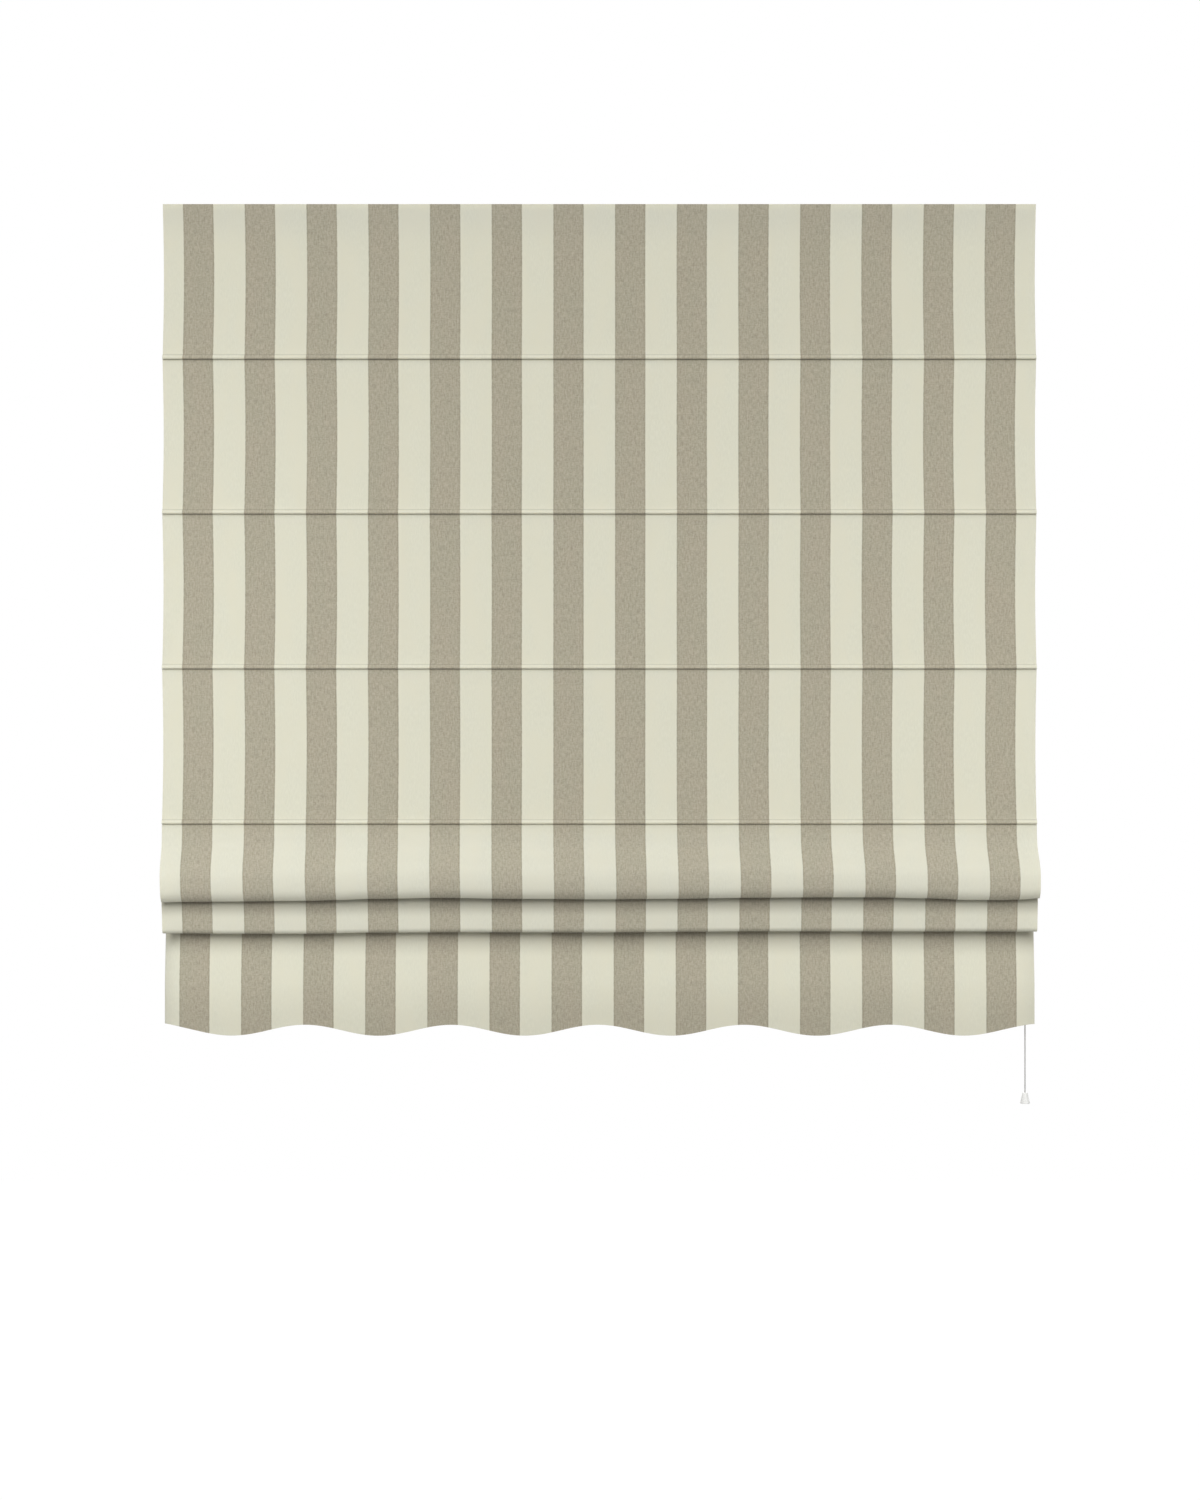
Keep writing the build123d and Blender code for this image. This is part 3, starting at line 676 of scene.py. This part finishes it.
def cloth():
    """Panels that gather as the blind is raised, the rods' pockets between them, and the folds."""
    start = 0.0
    for rod in range(1, TUCKS + 1):
        seam, turn = nearest(MARKS[f"line_{rod}"] + CUT_INSIDE), nearest(MARKS[f"turn_{rod}"] - CUT_INSIDE)
        above = "headrail" if rod == 1 else ROD_BODIES[rod - 2]
        piece, rows = cloth_piece(f"cloth_panel_{rod}", start, seam, above)
        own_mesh(piece)
        cloth_piece(f"cloth_pocket_{rod}", seam, turn, ROD_BODIES[rod - 1])
        start = turn
    cloth_piece("cloth_folds", start, CUT_LENGTH, "stack")


def nearest(s):
    return min(LENGTHS, key=lambda value: abs(value - s))


# Cords and threads

def tube(name, path, radius, material, sides=10):
    """A round tube along points in millimetres, with its length as the second coordinate of its UVs."""
    mesh = bpy.data.meshes.new(name)
    bm = bmesh.new()
    uv = bm.loops.layers.uv.new("metres")
    points = [Vector(p) for p in path]
    across = (points[1] - points[0]).orthogonal().normalized()
    rings, lengths, so_far = [], [], 0.0
    for i, p in enumerate(points):
        a, b = points[max(i - 1, 0)], points[min(i + 1, len(points) - 1)]
        along = (b - a).normalized()
        across = (across - along * across.dot(along)).normalized()
        other = along.cross(across)
        if i:
            so_far += (p - points[i - 1]).length
        lengths.append(so_far)
        spokes = [2 * math.pi * k / sides for k in range(sides)]
        rim = [p + (across * math.cos(t) + other * math.sin(t)) * radius for t in spokes]
        rings.append([bm.verts.new(point * MM) for point in rim])
    for i in range(len(rings) - 1):
        for k in range(sides):
            n = (k + 1) % sides
            f = bm.faces.new([rings[i][k], rings[i][n], rings[i + 1][n], rings[i + 1][k]])
            f.smooth = True
            box = [(k, i), (k + 1, i), (k + 1, i + 1), (k, i + 1)]
            for loop, (u, v) in zip(f.loops, box):
                loop[uv].uv = (u / sides, lengths[v] * MM)
    for ring in (rings[0][::-1], rings[-1]):
        bm.faces.new(ring)
    bmesh.ops.recalc_face_normals(bm, faces=bm.faces)
    bm.to_mesh(mesh)
    bm.free()
    mesh.materials.append(material)
    piece = bpy.data.objects.new(name, mesh)
    bpy.context.scene.collection.objects.link(piece)
    return piece


def quarter(centre, radius, start, end, y, steps=8):
    """Points on an arc about Y, from one angle to another, counted from +X towards +Z."""
    cx, cz = centre
    angles = [math.radians(start + (end - start) * k / steps) for k in range(steps + 1)]
    return [(cx + radius * math.cos(a), y, cz + radius * math.sin(a)) for a in angles]


def lift_cords():
    """Each lift cord as a run in the rail, a drop to its stop and a strand to the connector. The last of the
    drop is straight, so that it stays in the stop's bore when the drop shortens."""
    bend, lock_bend = 4.65, 6.65
    stop_y = cord_y(CORD_END - PLY / 2)
    for i, (x, lane) in enumerate(zip(COLUMNS, LANES), 1):
        low = RUN - bend
        over = quarter((x + bend, low), bend, 180, 90, lane)
        run = [(x + bend + (PULL_X - x - bend - lock_bend) * k / 12, lane, RUN) for k in range(1, 12)]
        down = quarter((PULL_X - lock_bend, RUN - lock_bend), lock_bend, 90, 0, lane)
        in_rail = tube(f"lift_cord_{i}_rail", over + run + down, CORD_R, BRAID)
        end = STOP_TOP - STOP_BORE
        lean, fall = stop_y - lane, end - low
        drop = [(x, lane + lean * min(1, k / 37), low + fall * k / 40) for k in range(41)]
        hanging = tube(f"lift_cord_{i}_drop", drop, CORD_R, BRAID)
        foot, head = CONNECTOR_TOP - 8.0, RUN - lock_bend
        strand = [(PULL_X, lane, head + (foot - head) * k / 30) for k in range(31)]
        strand = tube(f"lift_cord_{i}_strand", strand, CORD_R, BRAID)
        for piece in (in_rail, hanging, strand):
            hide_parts(f"lift_cord_{i}")
        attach(in_rail, "headrail")
        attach(hanging, "headrail")
        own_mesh(hanging)
        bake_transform(strand)


def pull_cord():
    curve = bpy.data.curves.new("pull_cord_braid", "CURVE")
    curve.dimensions = "3D"
    curve.bevel_depth = PULL_R * MM
    curve.bevel_resolution = 4
    spline = curve.splines.new("NURBS")
    count = 6
    spline.points.add(count - 1)
    for k, point in enumerate(spline.points):
        point.co = (PULL_X * MM, RAIL_MID * MM, (PULL_TOP + (PULL_END - PULL_TOP) * k / (count - 1)) * MM, 1)
    spline.order_u = 3
    spline.use_endpoint_u = True
    spline.resolution_u = 16
    curve.use_fill_caps = True
    curve.materials.append(PULL_BRAID)
    piece = bpy.data.objects.new("pull_cord_braid", curve)
    bpy.context.scene.collection.objects.link(piece)
    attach(piece, "pull")
    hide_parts("pull_cord")


def ring_threads():
    """Three stitches that tack each ring to its pocket."""
    reach, wide, thread_r = 3.2, 1.35, 0.25
    for n in range(1, ROD_COUNT + 1):
        depth, z = pocket_centre(n)
        ring_y = cord_y(z)
        front = CLOTH_MID - depth + pocket_radius(n)
        near, far = front + THICK / 2, ring_y - reach
        turns = [math.radians(a) for a in range(0, 361, 24)]
        paths = []
        for x in COLUMNS:
            for side in (-1, 0, 1):
                ys = [(near + far) / 2 + math.cos(t) * (far - near) / 2 for t in turns]
                paths.append([(x + side, y, z + wide * math.sin(t)) for y, t in zip(ys, turns)])
        pieces = [tube(f"thread_{n}_{i}", path, thread_r, THREAD, sides=5) for i, path in enumerate(paths)]
        with bpy.context.temp_override(active_object=pieces[0], selected_editable_objects=pieces):
            bpy.ops.object.join()
        pieces[0].name = f"ring_threads_{n}"
        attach(pieces[0], ROD_BODIES[n - 1])


# Studio

FLOOR_Z = -2.42
FLOOR_REACH = 5.0
WORLD_LIGHT = 0.24
# Each sun's name, azimuth, elevation, strength and softness. The angles and the softness are in degrees.
SUNS = [
    ("key", -26, 37, 1.1, 40),
    ("second_key", 24, 37, 0.9, 40),
    ("back", 158, 38, 1.7, 40),
    ("second_back", -152, 34, 1.2, 40),
]
# Each fill's name, place, aim, size and power.
FILLS = [
    ("left_fill", (-1.15, -1.1, -0.75), (-0.2, 0, -0.7), (0.5, 0.9), 4.2),
    ("right_fill", (1.2, -1.15, -0.75), (0.2, 0, -0.7), (0.5, 0.9), 3.6),
]
PHOTO_WIDTH = 1200
FOCAL_PIXELS = 2495
SENSOR = 36.0
EYE = (1.04 * MM, -4.0324, -0.8563)


def sun(name, azimuth, elevation, strength, softness):
    """A soft lamp far away: azimuth 0 is in front, and a positive one is to the right."""
    light = bpy.data.lights.new(name, "SUN")
    light.energy = strength
    light.angle = math.radians(softness)
    lamp = bpy.data.objects.new(name, light)
    a, e = math.radians(azimuth), math.radians(elevation)
    from_there = Vector((math.sin(a) * math.cos(e), -math.cos(a) * math.cos(e), math.sin(e)))
    lamp.location = from_there * 6
    lamp.rotation_euler = (-from_there).to_track_quat("-Z", "Y").to_euler()
    bpy.context.scene.collection.objects.link(lamp)


def area_light(name, place, aim, size, power):
    light = bpy.data.lights.new(name, "AREA")
    light.shape = "RECTANGLE"
    light.size, light.size_y = size
    light.energy = power
    lamp = bpy.data.objects.new(name, light)
    lamp.visible_camera = False
    lamp.location = place
    lamp.rotation_euler = (Vector(aim) - Vector(place)).to_track_quat("-Z", "Y").to_euler()
    bpy.context.scene.collection.objects.link(lamp)


def seen_directly(tree):
    """1 for what the camera sees, also in a reflection or through something clear, and 0 for light."""
    rays = tree.nodes.new("ShaderNodeLightPath")
    share = rays.outputs["Is Camera Ray"]
    for other in ("Is Glossy Ray", "Is Transmission Ray"):
        either = tree.nodes.new("ShaderNodeMath")
        either.operation = "MAXIMUM"
        tree.links.new(share, either.inputs[0])
        tree.links.new(rays.outputs[other], either.inputs[1])
        share = either.outputs[0]
    return share


def studio():
    world = bpy.data.worlds.new("studio")
    bpy.context.scene.world = world
    world.use_nodes = True
    tree = world.node_tree
    light = tree.nodes["Background"]
    light.inputs["Color"].default_value = (1, 1, 1, 1)
    light.inputs["Strength"].default_value = WORLD_LIGHT
    white = tree.nodes.new("ShaderNodeBackground")
    white.inputs["Color"].default_value = (1, 1, 1, 1)
    mix = tree.nodes.new("ShaderNodeMixShader")
    tree.links.new(seen_directly(tree), mix.inputs[0])
    tree.links.new(light.outputs[0], mix.inputs[1])
    tree.links.new(white.outputs[0], mix.inputs[2])
    tree.links.new(mix.outputs[0], tree.nodes["World Output"].inputs["Surface"])

    floor_mesh = bpy.data.meshes.new("studio_floor")
    corners = [(-1, -1), (1, -1), (1, 1), (-1, 1)]
    corners = [(x * FLOOR_REACH, y * FLOOR_REACH, FLOOR_Z) for x, y in corners]
    floor_mesh.from_pydata(corners, [], [(0, 1, 2, 3)])
    floor = bpy.data.objects.new("studio_floor", floor_mesh)
    bpy.context.scene.collection.objects.link(floor)
    g = Graph("pale_floor")
    share = seen_directly(g.tree)
    cloud = g.noise(g.scaled(g.place(), (1.5, 1.5, 1.5)), detail=2.0)
    pale = g.mix(cloud, linear((246, 246, 245)), linear((250, 250, 249)))
    g.finish(g.mix(share, (0.3, 0.3, 0.3, 1), pale), Roughness=0.9)
    glow = g.node("ShaderNodeEmission", Strength=1.0)
    mix = g.node("ShaderNodeMixShader", Fac=g.math("MULTIPLY", share, 0.9))
    g.tree.links.new(g.shader.outputs[0], mix.inputs[1])
    g.tree.links.new(glow.outputs[0], mix.inputs[2])
    g.tree.links.new(mix.outputs[0], g.tree.nodes["Material Output"].inputs["Surface"])
    floor_mesh.materials.append(g.material)

    for values in SUNS:
        sun(*values)
    for values in FILLS:
        area_light(*values)


def camera():
    data = bpy.data.cameras.new("camera")
    data.sensor_fit = "HORIZONTAL"
    data.sensor_width = SENSOR
    data.lens = SENSOR * FOCAL_PIXELS / PHOTO_WIDTH
    data.clip_end = 60.0
    cam = bpy.data.objects.new("camera", data)
    cam.location = EYE
    cam.rotation_euler = (math.pi / 2, 0, 0)
    bpy.context.scene.collection.objects.link(cam)
    bpy.context.scene.camera = cam


bpy.context.scene.view_settings.view_transform = "Standard"
cloth()
lift_cords()
pull_cord()
ring_threads()
studio()
camera()
